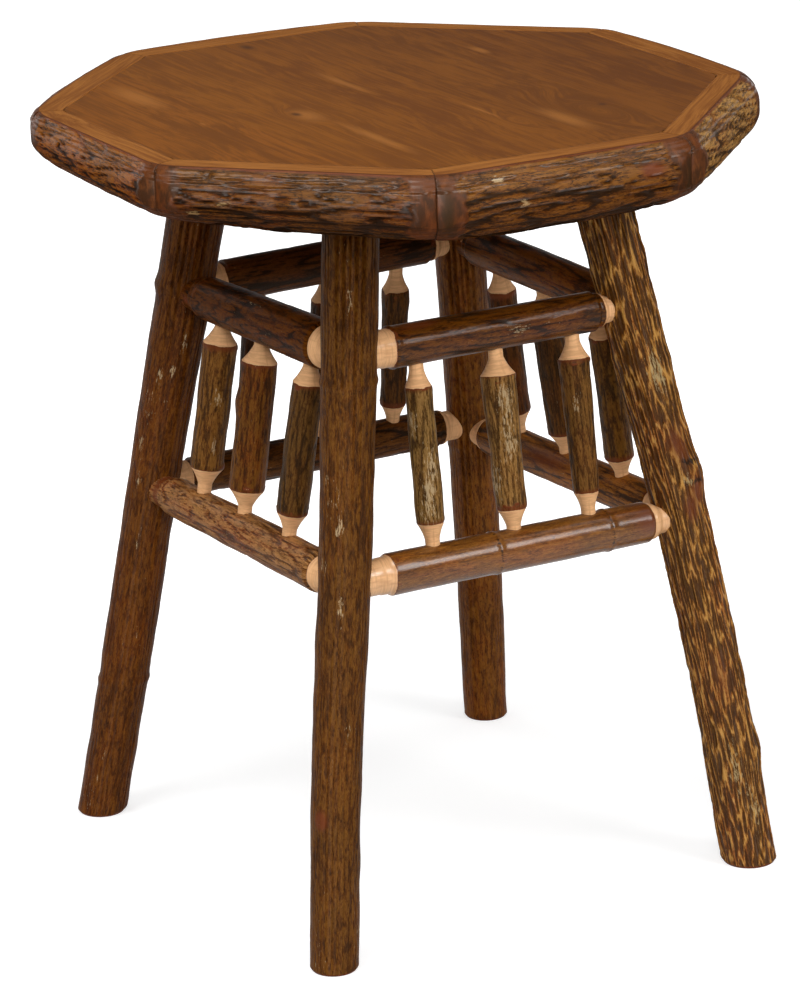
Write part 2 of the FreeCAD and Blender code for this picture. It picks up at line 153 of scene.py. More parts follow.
def spectrum(seed, shape, weight):
    """Random field of unit spread that joins up round the pole, with its waves weighed by their length."""
    white = np.random.default_rng(seed).standard_normal(shape)
    lengthwise = np.fft.fftfreq(shape[0])[:, None]
    crosswise = np.fft.fftfreq(shape[1])[None, :]
    field = np.fft.ifft2(np.fft.fft2(white) * weight(lengthwise, crosswise)).real
    return field / field.std()


def drift(seed, shape, along, around):
    """Smooth swells and hollows of a length and width given in cells."""
    return spectrum(seed, shape, lambda u, v: np.exp(-2 * ((u * along) ** 2 + (v * around) ** 2)))


def ripple(seed, shape, along, around, lean=0.0):
    """Waves whose crests lie a given number of cells apart, and part and join along the pole."""

    def weight(u, v):
        pitch = np.hypot((u + lean * v) * along, v * around)
        return np.exp(-(((pitch - 0.5) / RIPPLE_SPREAD) ** 2))

    return spectrum(seed, shape, weight)


def smoothed(field, along, around):
    """The field with everything shorter or narrower than a number of cells taken out."""
    lengthwise = np.fft.fftfreq(field.shape[0])[:, None]
    crosswise = np.fft.fftfreq(field.shape[1])[None, :]
    weight = np.exp(-2 * ((lengthwise * along) ** 2 + (crosswise * around) ** 2))
    return np.fft.ifft2(np.fft.fft2(field) * weight).real


class Bark:
    """How the bark of a pole is ridged: the ridges' length, spacing and depth in millimetres.

    Narrow furrows part broad ridges, or where crested is set, narrow crests stand on a broad ground.
    The ridges turn by the slant in millimetres for each millimetre along the pole.
    """

    def __init__(
        self, seed, length, spacing, depth,
        width=0.45, crested=False, slant=0.0, lump=0.3, fine=0.08, patchy=0.4,
    ):
        self.seed = seed
        self.length = length
        self.spacing = spacing
        self.depth = depth
        self.width = width
        self.crested = crested
        self.slant = slant
        self.lump = lump
        self.fine = fine
        self.patchy = patchy

    def on(self, shape, step_along, step_around):
        """Relief from 0 to 1 and the height over the even pole, for a grid of points set steps apart."""
        long, wide = self.length * MM / step_along, self.spacing * MM / step_around
        lean = self.slant * step_along / step_around
        waves = ripple(self.seed, shape, long, wide, lean)
        waves = waves + 0.3 * drift(self.seed + 1, shape, long, 2 * wide)
        if self.crested:
            waves = waves / np.sqrt(smoothed(waves**2, 2 * long, 3 * wide))
        lines = np.exp(-((waves / self.width) ** 2))
        relief = lines if self.crested else 1 - lines
        small = ripple(self.seed + 2, shape, long / 3, max(wide / 3, 2.5), lean)
        fine = 1 - np.exp(-((small / 0.5) ** 2))
        swells = drift(self.seed + 3, shape, SWELL_LENGTH / step_along, SWELL_WIDTH / step_around)
        patches = drift(self.seed + 4, shape, PATCH_LENGTH / step_along, wide * 2)
        strong = 1 - self.patchy * smooth_step(-0.6, 0.9, patches)
        height = (relief - 1) * self.depth * strong + (fine - 1) * self.fine
        height = height + (swells - 1.5) * SWELL_HEIGHT * self.lump
        shown = relief if self.crested else relief * (0.7 + 0.3 * fine)
        return 1 - (1 - shown) * strong, height * MM


def marks_on(marks, places, turns, turn_width):
    """Strength of each kind of mark on a grid of points.

    A mark is its kind, its place along the piece, its turn, its length and width in millimetres and its
    strength, which is the height in millimetres of a lump. On a pole the turn is in degrees, to the right
    or down from the side that faces the front. On a rim log it is in millimetres down from the top edge.
    """
    found = {kind: np.zeros((len(places), len(turns))) for kind in ("pale", "red", "dark", "lump")}
    for kind, place, turn, length, width, strength in marks:
        away = (turns - turn + 180) % 360 - 180
        around = away * turn_width / width
        along = (places - place) / MM / length
        found[kind] += np.exp(-(along[:, None] ** 2) - around[None, :] ** 2) * strength
    return found


def stain_of(found):
    """Pale, red and dark marks as one vector."""
    return np.stack([np.clip(found[kind], 0, 1.2) for kind in ("pale", "red", "dark")], -1)


# ---- Making the pieces ----

BARK_THICKNESS = 1.8 * MM
CUT_AWAY = 9  # stored depth of wood that never had bark over it, in thicknesses of bark


def sleeve(name, rings):
    """A closed tube through rings of points: a cylinder whose walls are divided and set in place."""
    stations, segments, _ = rings.shape
    bm = bmesh.new()
    bmesh.ops.create_cone(bm, cap_ends=True, segments=segments, radius1=1, radius2=1, depth=1)
    walls = [edge for edge in bm.edges if abs(edge.verts[0].co.z - edge.verts[1].co.z) > 0.5]
    bmesh.ops.subdivide_edges(bm, edges=walls, cuts=stations - 2, use_grid_fill=False)
    for face in bm.faces:
        face.smooth = len(face.verts) == 4
    mesh = bpy.data.meshes.new(name)
    bm.to_mesh(mesh)
    bm.free()
    points = np.empty(len(mesh.vertices) * 3, np.float32)
    mesh.vertices.foreach_get("co", points)
    points = points.reshape(-1, 3)
    station = np.rint((points[:, 2] + 0.5) * (stations - 1)).astype(int)
    turned = np.arctan2(points[:, 1], points[:, 0]) / (2 * math.pi)
    segment = np.rint(turned * segments).astype(int) % segments
    low, high = np.array(cad_box[0]), np.array(cad_box[1])
    mesh.vertices.foreach_set("co", np.clip(rings[station, segment], low, high).astype(np.float32).ravel())
    mesh.update()
    piece = bpy.data.objects.new(name, mesh)
    bpy.context.scene.collection.objects.link(piece)
    return piece, station, segment


def finish_piece(node, material, rings, **layers):
    """Makes a piece from its rings, stores its layers for the material and puts it in its solid's place."""
    piece, station, segment = sleeve(f"{node}_bark", rings)
    for name, values in layers.items():
        spread = values[station, segment].astype(np.float32)
        kind, key = ("FLOAT_VECTOR", "vector") if spread.ndim == 2 else ("FLOAT", "value")
        piece.data.attributes.new(name, kind, "POINT").data.foreach_set(key, spread.ravel())
    piece.data.materials.append(material)
    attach(piece, "root")
    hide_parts(node)


def grain_of(turns, radius, lengths):
    """Straightened coordinates of a pole: across, across and along, in metres."""
    grain = np.empty((len(lengths), len(turns), 3))
    grain[..., 0] = np.cos(turns) * radius
    grain[..., 1] = np.sin(turns) * radius
    grain[..., 2] = np.asarray(lengths)[:, None]
    return grain


LEG_SPACING = 1.6  # from ring to ring, in millimetres
LEG_SEGMENTS, CRESTED_SEGMENTS = 150, 210
SOLE_HEIGHTS = (0.2 * MM, 1.4 * MM, 2.6 * MM, 3.4 * MM)  # where the bevel of the sole is measured
READING_STEP = 8  # from one measured height to the next, in millimetres


def read_leg(name, shoulder, high):
    """Heights on a leg, with its middle, radius and ovalness at each."""
    tree = skin(name)
    turns, spokes = fan(FACE, SIDE, SPOKES)
    points = corners_of(name)
    sole = points[points[:, 2] < 5 * MM]
    middle = (sole.min(0) + sole.max(0)) / 2
    heights = [*SOLE_HEIGHTS, *(np.arange(10, shoulder / MM - 2, READING_STEP) * MM)]
    heights += [shoulder - 0.3 * MM, shoulder + 0.5 * MM, high - 0.3 * MM]
    read = []
    slope = np.zeros(3)
    for below, height in zip([0.0] + heights, heights):
        guess = middle + slope * (height - below)
        guess[2] = height
        radius, right, left, oval_cos, oval_sin = outline(turns, girth(tree, guess, spokes))
        found = guess + FACE * right + SIDE * left
        if 20 * MM < height < shoulder:
            slope = 0.7 * slope + 0.3 * (found - middle) / (height - below)
        middle = found
        read.append((found[0], found[1], radius, oval_cos, oval_sin))
    return heights, np.array(read)


def leg_piece(name, bark, material, marks):
    """Leg with its bark, level rings from the sole to the shoulder and its tenon above."""
    segments = CRESTED_SEGMENTS if bark.crested else LEG_SEGMENTS
    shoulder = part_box("bearer_front_back")[0].z
    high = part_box(name)[1].z
    heights, read = read_leg(name, shoulder, high)
    rings_z = [0.0, 0.0, 0.6 * MM, 1.3 * MM, 2.6 * MM]
    rings_z += list(np.arange(4, shoulder / MM - 0.4, LEG_SPACING) * MM)
    bark_rings = len(rings_z) + 1
    rings_z = np.array(rings_z + [shoulder, shoulder, shoulder + 0.6 * MM, high])
    read_at = np.array(rings_z)
    read_at[bark_rings - 1] = shoulder - 0.3 * MM
    read_at[bark_rings] = shoulder + 0.5 * MM
    centre_x, centre_y, radius, oval_cos, oval_sin = [
        np.interp(read_at, heights, column)[:, None] for column in read.T
    ]
    turns, spokes = fan(FACE, SIDE, segments)
    reach = radius + oval_cos * np.cos(2 * turns) + oval_sin * np.sin(2 * turns)
    shape = reach.shape
    mean = radius[2:bark_rings].mean()
    relief, height = bark.on(shape, LEG_SPACING * MM, 2 * math.pi * mean / segments)
    found = marks_on(marks, rings_z, np.degrees(turns), math.radians(mean / MM))
    on_bark = (np.arange(shape[0]) < bark_rings)[:, None] * np.ones(shape)
    foot = smooth_step(0, 4 * MM, rings_z)[:, None]
    reach = reach + (height + found["lump"] * MM) * on_bark * foot
    reach[0] -= BARK_THICKNESS
    rings = reach[..., None] * spokes[None]
    rings[..., 0] += centre_x
    rings[..., 1] += centre_y
    rings[..., 2] += rings_z[:, None]
    rind = 0.2 * (1 - smooth_step(1 * MM, 4 * MM, rings_z))[:, None]
    depth = np.where(on_bark > 0, rind, CUT_AWAY)
    depth[0] = CUT_AWAY
    grain = grain_of(turns, mean, rings_z)
    finish_piece(name, material, rings, grain=grain, relief=relief, depth=depth, stain=stain_of(found))


LATHE_MARK = 0.25 * MM  # a dip in a turned pole that doesn't count as a cut
BARK_EDGE = 0.4 * MM  # depth at which the bark ends
SHALLOW_CUT = 3 * MM  # up to this depth the wood is cut down with the bark
RAGGED = 0.45 * MM  # how unevenly the bark ends


def peel(lengths, profile, inside, peeled_further):
    """Depth below the full pole along a turned piece, its new profile, and how near its bark's ends are."""
    half = len(lengths) // 2
    trend = np.polyval(np.polyfit(lengths[inside], profile[inside], 1), lengths)
    solid_depth = np.clip(trend - profile - LATHE_MARK, 0, None)
    towards_start = np.maximum.accumulate(solid_depth[:half][::-1])[::-1]
    depth = np.concatenate((towards_start, np.maximum.accumulate(solid_depth[half:])))
    moved = [
        np.interp(lengths + way * (further or 0) * MM, lengths, depth)
        for way, further in zip((-1, 1), peeled_further)
    ]
    depth = np.concatenate((moved[0][:half], moved[1][half:]))
    profile = profile - np.clip(depth - solid_depth, 0, None) * (depth < SHALLOW_CUT)
    ends = lengths[depth < BARK_EDGE][[0, -1]]
    for part, further in zip((slice(0, half), slice(half, None)), peeled_further):
        if further is None:
            depth[part] = 0
    near_end = 1 - smooth_step(3 * MM, 9 * MM, np.minimum(lengths - ends[0], ends[1] - lengths))
    return depth[:, None], profile, near_end[:, None]


def turned_piece(name, bark, material, segments, spacing, marks, trim=0.0, peeled_further=(0, 0)):
    """Rail or spindle: the turned solid's own profile, with bark where the profile is full.

    The marks' places are shares of its length. At its two ends the peeled wood reaches so many millimetres
    further in than the solid's shoulder does, or none is peeled where that is None.
    """
    tree = skin(name)
    start, along, length = straight_axis(name, tree)
    start, length = start + along * trim, length - 2 * trim
    across = FACE - along * (FACE @ along)
    across /= np.linalg.norm(across)
    sideways = np.cross(along, across)
    stations = int(length / (spacing * MM)) + 2
    lengths = np.linspace(0.1 * MM, length - 0.1 * MM, stations)
    spokes = fan(across, sideways, SPOKES)[1]
    profile = np.array([np.nanmax(girth(tree, start + along * place, spokes)) for place in lengths])
    inside = np.abs(lengths / length - 0.5) < 0.25
    depth, profile, near_end = peel(lengths, profile, inside, peeled_further)
    turns, spokes = fan(across, sideways, segments)
    mean = profile[inside].mean()
    shape = (stations, segments)
    relief, height = bark.on(shape, length / stations, 2 * math.pi * mean / segments)
    placed = [(kind, share * length, *rest) for kind, share, *rest in marks]
    found = marks_on(placed, lengths, np.degrees(turns), math.radians(mean / MM))
    ragged = RAGGED * drift(bark.seed + 30, shape, 4, 7) * near_end
    on_bark = 1 - smooth_step(0.1 * MM, 1.0 * MM, depth + ragged)
    reach = profile[:, None] + (height + found["lump"] * MM) * on_bark
    rings = reach[..., None] * spokes[None] + (start + np.outer(lengths, along))[:, None]
    depth = (depth + 0.35 * ragged) / BARK_THICKNESS
    grain = grain_of(turns, mean, lengths)
    finish_piece(name, material, rings, grain=grain, relief=relief, depth=depth, stain=stain_of(found))


# ---- Rim ----

CORNER = math.radians(22.49)  # from the middle of a rim log to its mitre
INNER_FACE = 0.291  # from the table's middle to the logs' sawn inner faces
LOG_LINE, EDGE_LINE = 0.325, 0.33  # from the table's middle to a log's own middle and to its outer edge
LOG_MIDDLE_IN = 20 * MM  # from the inner face to a line inside the log
LOG_MIDDLE_DROP = 24 * MM
LOG_WRAP = 90 * MM  # length of the bark's outline in a section
PROBES = 60  # points measured on it
EDGE_ROUNDING = 5  # times the top outer edge is smoothed
EDGE_FADE = (0.15, 0.45, 0.8)  # how much of the bark's relief the points next to that edge have
CORNER_PULL = 4.6 * MM  # how far in each corner of the octagon is rounded off
CORNER_REACH = 24 * MM  # where the rounding starts, from the mitre
SEAM_WIDTH, SEAM_DEPTH = 0.8 * MM, 0.25 * MM
RIM_STATIONS = 200
BARK_POINTS, INNER_POINTS, BORDER_POINTS = 84, 8, 14  # round a section
NO_MARK = 170  # a drop at which no mark lies, in millimetres


def section_of(tree, azimuth):
    """The log's outline in an upright plane through the middle of the table: (out, height) all round."""
    out = Vector((math.cos(azimuth), math.sin(azimuth), 0))
    half = math.radians(22.5)
    inner = INNER_FACE / math.cos((azimuth + half) % (2 * half) - half)
    edge = tree.ray_cast(out * (inner + 0.2) + UP * (TOP - 0.05 * MM), -out, 0.3)[0]
    low = tree.ray_cast(out * (inner + 0.05 * MM) + UP * 0.5, UP, 0.3)[0]
    middle = np.array((inner + LOG_MIDDLE_IN, TOP - LOG_MIDDLE_DROP))
    corner_out, corner_low = np.array((out.dot(edge), TOP)), np.array((inner, low.z))
    first = math.atan2(*(corner_out - middle)[::-1])
    final = math.atan2(*(corner_low - middle)[::-1]) % (2 * math.pi) - 2 * math.pi
    points = [corner_out]
    for angle in np.linspace(first, final, PROBES)[1:-1]:
        direction = out * math.cos(angle) + UP * math.sin(angle)
        hit = tree.ray_cast(out * middle[0] + UP * middle[1] + direction * REACH, -direction, REACH)[0]
        points.append(np.array((out.dot(hit), hit.z)))
    points.append(corner_low)
    return np.array(points)


def evenly(points, count):
    """The same line with its points evenly spaced."""
    steps = np.hypot(*np.diff(points, axis=0).T)
    run = np.concatenate(([0], np.cumsum(steps)))
    places = np.linspace(0, run[-1], count)
    return np.array([np.interp(places, run, column) for column in points.T]).T


def sections(tree, azimuth, bends):
    """Outlines of a rim log at each bend: bark from the top edge down, inner face up and border out."""
    flat = np.zeros((len(bends), BARK_POINTS + INNER_POINTS + BORDER_POINTS, 2))
    for station, bend in enumerate(bends):
        line = evenly(section_of(tree, azimuth + bend), BARK_POINTS)
        face = INNER_FACE / math.cos(bend)
        rise = np.linspace(line[-1][1], TOP, INNER_POINTS + 1)[1:]
        run = np.linspace(face, line[0][0], BORDER_POINTS + 2)[1:-1]
        flat[station, :BARK_POINTS] = line
        flat[station, BARK_POINTS:-BORDER_POINTS] = np.stack((np.full(INNER_POINTS, face), rise), 1)
        flat[station, -BORDER_POINTS:] = np.stack((run, np.full(BORDER_POINTS, TOP)), 1)
    return flat


def rim_piece(name, side, bark, material, sanded, marks):
    """Half log of the rim: bark outside, sawn border on top, mitred and sanded smooth at its corners."""
    azimuth = math.radians(45 * side)
    shares = np.linspace(-1, 1, RIM_STATIONS)
    bends = np.arctan(shares * math.tan(CORNER))
    flat = sections(skin(name), azimuth, bends)
    shape = flat.shape[:2]
    to_corner = (1 - np.abs(shares)) * EDGE_LINE * math.tan(CORNER)
    pull = CORNER_PULL * np.clip(1 - to_corner / CORNER_REACH, 0, 1) ** 2
    outness = (flat[..., 0] - INNER_FACE) / (flat[:, :1, 0] - INNER_FACE)
    flat[..., 0] -= pull[:, None] * np.clip(outness, 0, 1)
    edge_depth = (flat[:, :1, 0] - flat[:, -BORDER_POINTS:, 0]) / MM * 0.5
    near_edge = np.arange(-1, 3)
    for _ in range(EDGE_ROUNDING):
        flat[:, near_edge] = (flat[:, near_edge - 1] + 2 * flat[:, near_edge] + flat[:, near_edge + 1]) / 4
    tangents = np.roll(flat, -1, 1) - np.roll(flat, 1, 1)
    normals = np.stack((-tangents[..., 1], tangents[..., 0]), -1)
    normals /= np.linalg.norm(normals, axis=-1, keepdims=True)
    length = 2 * LOG_LINE * math.tan(CORNER)
    step_around = LOG_WRAP / BARK_POINTS
    relief, height = bark.on(shape, length / RIM_STATIONS, step_around)
    to_mitre = (1 - np.abs(shares))[:, None] * length / 2 * np.ones(shape)
    uneven = 3.5 * MM * drift(bark.seed + 40, shape, 8, 8)
    rough = smooth_step(sanded * MM, (sanded + 14) * MM, to_mitre + uneven)
    number = np.arange(shape[1])
    down = number / BARK_POINTS
    # Painted light: from here on the relief only sets the bark's colour, so its furrows are thinned near the
    # top edge as a painted highlight and its ridges are dimmed lower down as painted shade.
    below = smooth_step(0.45, 0.8, down)
    above = 1 - smooth_step(0.05, 0.35, down)
    relief = (1 - (1 - relief) * (1 - 0.5 * above)) * (1 - 0.4 * below)
    drops = np.where(number < BARK_POINTS, number * step_around / MM, NO_MARK)
    placed = [(kind, share * length / 2, *rest) for kind, share, *rest in marks]
    found = marks_on(placed, shares * length / 2, drops, 1)
    on_bark = np.zeros(shape)
    on_bark[:, :BARK_POINTS - 3] = 1
    on_bark[:, :3] = EDGE_FADE
    seam = np.exp(-((to_mitre / SEAM_WIDTH) ** 2))
    raised = (height + found["lump"] * MM) * on_bark * (0.05 + 0.95 * rough) - seam * SEAM_DEPTH
    flat = flat + normals * raised[..., None]
    flat[..., 1] = np.minimum(flat[..., 1], TOP)
    rings = np.empty((*shape, 3))
    rings[..., 0] = flat[..., 0] * np.cos(azimuth + bends)[:, None]
    rings[..., 1] = flat[..., 0] * np.sin(azimuth + bends)[:, None]
    rings[..., 2] = flat[..., 1]
    depth = np.zeros(shape)
    depth[:, BARK_POINTS:-BORDER_POINTS] = CUT_AWAY
    depth[:, -BORDER_POINTS:] = edge_depth
    found["red"][:, :3] += (0.9, 0.5, 0.2)
    out = flat[..., 0] * np.cos(bends)[:, None]
    finish_piece(
        name,
        material,
        rings,
        grain=np.stack((out, flat[..., 1], out * np.tan(bends)[:, None]), -1),
        relief=relief,
        depth=depth,
        sanded=1 - rough,
        seam=seam,
        stain=stain_of(found),
        # The gloss falls off down the log, and where it is low the material also lays its painted shade.
        gloss=np.ones(shape) * (1 - 0.9 * smooth_step(0.15, 0.5, down)),
    )


# ---- Materials ----


def colour(code):
    """Linear colour of a hex code."""
    parts = [int(code[place:place + 2], 16) / 255 for place in (1, 3, 5)]
    return [part / 12.92 if part <= 0.04045 else ((part + 0.055) / 1.055) ** 2.4 for part in parts] + [1.0]


class Sheet:
    """A node tree being filled in."""

    def __init__(self, tree):
        self.tree = tree

    def add(self, kind, settings=None, **inputs):
        """A node, with its inputs given by name, or by number as i0, i1 and so on."""
        node = self.tree.nodes.new("ShaderNode" + kind)
        for key, value in (settings or {}).items():
            setattr(node, key, value)
        for key, value in inputs.items():
            numbered = key[0] == "i" and key[1:].isdigit()
            self.feed(node.inputs[int(key[1:]) if numbered else key.replace("_", " ")], value)
        return node

    def feed(self, socket, value):
        """Gives an input a number, a vector or the colour of a hex code, or links it to an output."""
        if isinstance(value, bpy.types.NodeSocket):
            self.tree.links.new(value, socket)
        else:
            socket.default_value = colour(value) if isinstance(value, str) else value

    def maths(self, operation, first, second=0.0):
        return self.add("Math", {"operation": operation}, i0=first, i1=second).outputs[0]

    def times(self, first, second):
        return self.maths("MULTIPLY", first, second)

    def plus(self, first, second):
        return self.maths("ADD", first, second)

    def minus(self, first, second):
        return self.maths("SUBTRACT", first, second)

    def larger(self, first, second):
        return self.maths("MAXIMUM", first, second)

    def swing(self, value, reach):
        """How far a value is off a half, times a reach."""
        return self.times(self.minus(value, 0.5), reach)

    def weighed(self, first, first_share, second, second_share):
        return self.plus(self.times(first, first_share), self.times(second, second_share))

    def between(self, value, low, high, to_low=0.0, to_high=1.0):
        """The value's place between two limits, eased."""
        eased = {"interpolation_type": "SMOOTHSTEP"}
        return self.add("MapRange", eased, i0=value, i1=low, i2=high, i3=to_low, i4=to_high).outputs[0]

    def mix(self, share, first, second):
        """A value between two others."""
        return self.add("Mix", i0=share, i2=first, i3=second).outputs[0]

    def blend(self, share, first, second, how="MIX"):
        """A colour between two others."""
        settings = {"data_type": "RGBA", "blend_type": how}
        return self.add("Mix", settings, i0=share, i6=first, i7=second).outputs[2]

    def tint(self, base, new, value, low, high, most=1.0):
        """The base with another colour on it where a value passes from low to high."""
        return self.blend(self.between(value, low, high, 0.0, most), base, new)

    def vector(self, x, y, z=0.0):
        return self.add("CombineXYZ", i0=x, i1=y, i2=z).outputs[0]

    def parts(self, vector):
        return self.add("SeparateXYZ", i0=vector).outputs

    def vector_maths(self, operation, *vectors):
        node = self.add("VectorMath", {"operation": operation})
        for socket, vector in zip(node.inputs, vectors):
            self.feed(socket, vector)
        return node.outputs["Value" if operation in ("LENGTH", "DOT_PRODUCT") else "Vector"]

    def position(self):
        return self.add("TexCoord").outputs["Object"]

    def noise(self, vector, scale, detail, roughness, stretch=(1, 1, 1)):
        """Noise that is drawn out in the directions whose stretch is small."""
        place = self.vector_maths("MULTIPLY", vector, stretch)
        return self.add("TexNoise", Vector=place, Scale=scale, Detail=detail, Roughness=roughness).outputs[0]


def effect(name, vectors, colours, values, results):
    """A shader node group with named inputs and outputs, ready to be filled in."""
    tree = bpy.data.node_groups.new(name, "ShaderNodeTree")
    for kind, sockets in (("Vector", vectors), ("Color", colours), ("Float", values)):
        for socket in sockets:
            tree.interface.new_socket(socket, in_out="INPUT", socket_type="NodeSocket" + kind)
    for socket, kind in results.items():
        tree.interface.new_socket(socket, in_out="OUTPUT", socket_type="NodeSocket" + kind)
    given = tree.nodes.new("NodeGroupInput").outputs
    result = tree.nodes.new("NodeGroupOutput").inputs
    return Sheet(tree), given, result


RED_RIND = "#6b3317"
DARK_MARK = "#150c07"
CRACK = "#170b03"


def bark_effect():
    sheet, given, result = effect(
        "Hickory bark",
        ["Grain", "Stain"],
        ["Furrow", "Bark", "Warm", "Ridge", "Pale"],
        ["Relief", "Ridge share", "Furrow share", "Fibre share", "Crack share", "Speckle"],
        {"Colour": "Color", "Height": "Float", "Roughness": "Float"},
    )
    grain = given["Grain"]
    streaks = sheet.noise(grain, 520, 4.0, 0.7, (1, 1, 0.15))
    threads = sheet.noise(grain, 900, 3.0, 0.7, (1, 1, 0.3))
    patches = sheet.noise(grain, 32, 3.0, 0.55, (1, 1, 0.4))
    clouds = sheet.noise(grain, 130, 3.0, 0.6, (1, 1, 0.3))
    ragged = sheet.noise(grain, 600, 4.0, 0.65, (1, 1, 0.25))
    bands = sheet.noise(grain, 190, 4.0, 0.6, (1, 1, 0.13))
    base = sheet.tint(given["Bark"], given["Warm"], patches, 0.42, 0.62)
    fibres = sheet.weighed(streaks, 0.55, threads, 0.45)
    pale_fibres = sheet.times(sheet.between(fibres, 0.5, 0.6), given["Fibre share"])
    base = sheet.blend(pale_fibres, base, given["Ridge"])
    base = sheet.tint(base, given["Furrow"], fibres, 0.5, 0.4, 0.8)
    crest = sheet.plus(given["Relief"], sheet.swing(threads, 0.5))
    high = sheet.times(sheet.between(crest, 0.7, 1.0), sheet.between(clouds, 0.25, 0.42))
    base = sheet.blend(sheet.times(high, given["Ridge share"]), base, given["Ridge"])
    low = sheet.times(sheet.between(crest, 0.66, 0.26), given["Furrow share"])
    base = sheet.blend(low, base, given["Furrow"])
    off_line = sheet.maths("ABSOLUTE", sheet.minus(bands, 0.5))
    crack = sheet.times(sheet.between(off_line, 0.026, 0.004), given["Crack share"])
    base = sheet.blend(crack, base, CRACK)
    pale_marks, red_marks, dark_marks = sheet.parts(given["Stain"])
    speckle = sheet.times(sheet.between(patches, 0.5, 0.68), given["Speckle"])
    fray = sheet.swing(ragged, 3.0)
    pale = sheet.plus(sheet.larger(pale_marks, speckle), fray)
    base = sheet.tint(base, RED_RIND, red_marks, 0.1, 0.9, 0.85)
    base = sheet.tint(base, DARK_MARK, sheet.plus(dark_marks, fray), 0.5, 0.9, 0.9)
    sheet.feed(result["Colour"], sheet.tint(base, given["Pale"], pale, 0.6, 0.95, 0.85))
    height = sheet.weighed(streaks, 0.6, threads, 0.4)
    sheet.feed(result["Height"], sheet.minus(height, sheet.times(crack, 0.6)))
    sheet.feed(result["Roughness"], sheet.between(threads, 0.3, 0.7, 0.3, 0.5))
    return sheet.tree


def peeled_effect():
    sheet, given, result = effect(
        "Peeled end",
        ["Grain"],
        ["Bark", "Rind", "Wood"],
        ["Depth"],
        {"Colour": "Color", "Height": "Float", "Bare": "Float"},
    )
    grain = given["Grain"]
    fray = sheet.noise(grain, 420, 3.0, 0.6, (1, 1, 0.5))
    depth = sheet.plus(given["Depth"], sheet.swing(fray, 0.3))
    rings = sheet.noise(grain, 620, 2.0, 0.6, (0.08, 0.08, 1))
    streaks = sheet.noise(grain, 160, 3.0, 0.6, (1, 1, 0.2))
    darker = sheet.blend(0.55, given["Wood"], "#a8693a")
    wood = sheet.tint(given["Wood"], darker, rings, 0.42, 0.64, 0.5)
    wood = sheet.tint(wood, darker, streaks, 0.52, 0.7, 0.6)
    found = sheet.tint(given["Bark"], given["Rind"], depth, 0.08, 0.16)
    bare = sheet.between(depth, 0.26, 0.36)
    sheet.feed(result["Colour"], sheet.blend(bare, found, wood))
    sheet.feed(result["Height"], rings)
    sheet.feed(result["Bare"], bare)
    return sheet.tree


def plank_effect():
    sheet, given, result = effect(
        "Stained plank",
        ["Grain"],
        ["Dark", "Light"],
        ["Shift", "Strength"],
        {"Colour": "Color", "Height": "Float"},
    )
    shift = given["Shift"]
    grain = sheet.vector_maths("ADD", given["Grain"], sheet.vector(shift, shift, shift))
    bend = sheet.noise(grain, 9, 2.0, 0.5, (1, 1, 0.35))
    grain = sheet.vector_maths("MULTIPLY_ADD", sheet.vector(bend, bend), (0.05, 0.05, 0), grain)
    figure = sheet.noise(grain, 85, 4.0, 0.6, (1, 1, 0.07))
    lines = sheet.noise(grain, 330, 4.0, 0.75, (1, 1, 0.02))
    pores = sheet.noise(grain, 1400, 2.0, 0.5, (1, 1, 0.05))
    clouds = sheet.noise(grain, 14, 3.0, 0.6, (1, 1, 0.4))
    tone = sheet.weighed(figure, 0.5, clouds, 0.5)
    tone = sheet.plus(tone, sheet.swing(lines, 1.2))
    tone = sheet.plus(sheet.swing(tone, given["Strength"]), 0.5)
    base = sheet.tint(given["Dark"], given["Light"], tone, 0.3, 0.7)
    base = sheet.tint(base, given["Dark"], pores, 0.42, 0.3, 0.18)
    sheet.feed(result["Colour"], base)
    sheet.feed(result["Height"], sheet.weighed(lines, 0.5, pores, 0.5))
    return sheet.tree


# The top's grain runs from the back left to the front right. Each mark in it has its middle on the
# table in millimetres, half its length along the grain and half its width.
KNOTS = [((-59, -105), 34, 15), ((-202, 174), 26, 12), ((214, -45), 80, 32), ((150, -95), 40, 16)]
PALE_MARKS = [
    ((-52, -106), 42, 19),
    ((-60, 34), 80, 7),
    ((106, -62), 50, 3),
    ((38, -182), 100, 10),
    ((34, 196), 26, 8),
    ((-139, -154), 9, 2.5),
    ((-235, -60), 80, 20),
    ((190, -80), 70, 16),
]
DARK_MARKS = [((-64, -103), 12, 7), ((-202, 174), 18, 9), ((210, -18), 8, 6)]


def figure_effect():
    """Where the knots, swirls and streaks of the top lie, the same for all its boards."""
    outputs = {"Grain": "Vector", "Pale": "Float", "Dark": "Float"}
    sheet, given, result = effect("Figure of the top", ["Position"], [], [], outputs)
    half = math.sqrt(0.5)
    across = sheet.vector_maths("DOT_PRODUCT", given["Position"], (half, half, 0))
    along = sheet.vector_maths("DOT_PRODUCT", given["Position"], (half, -half, 0))

    def on_grain(spot):
        """How far a spot is across the grain and along it, in metres."""
        x, y = spot
        return (x + y) * half * MM, (x - y) * half * MM

    def away_from(spot, length, width):
        """How far a point is from a mark, in its own lengths and widths."""
        spot_across, spot_along = on_grain(spot)
        over = sheet.times(sheet.minus(across, spot_across), 1 / width / MM)
        down = sheet.times(sheet.minus(along, spot_along), 1 / length / MM)
        return sheet.vector_maths("LENGTH", sheet.vector(over, down))

    bent_across, bent_along = across, along
    for spot, length, width in KNOTS:
        spot_across, spot_along = on_grain(spot)
        away = away_from(spot, length, width)
        near = sheet.between(away, 1.6, 0.35)
        ring = sheet.plus(sheet.times(away, width * MM), spot_across)
        bent_across = sheet.mix(near, bent_across, ring)
        bent_along = sheet.mix(near, bent_along, spot_along)
    sheet.feed(result["Grain"], sheet.vector(bent_across, 0.0, bent_along))
    for kind, marks in (("Pale", PALE_MARKS), ("Dark", DARK_MARKS)):
        mask = 0.0
        for spot, length, width in marks:
            mask = sheet.larger(mask, sheet.between(away_from(spot, length, width), 1.0, 0.1))
        sheet.feed(result[kind], mask)
    return sheet.tree


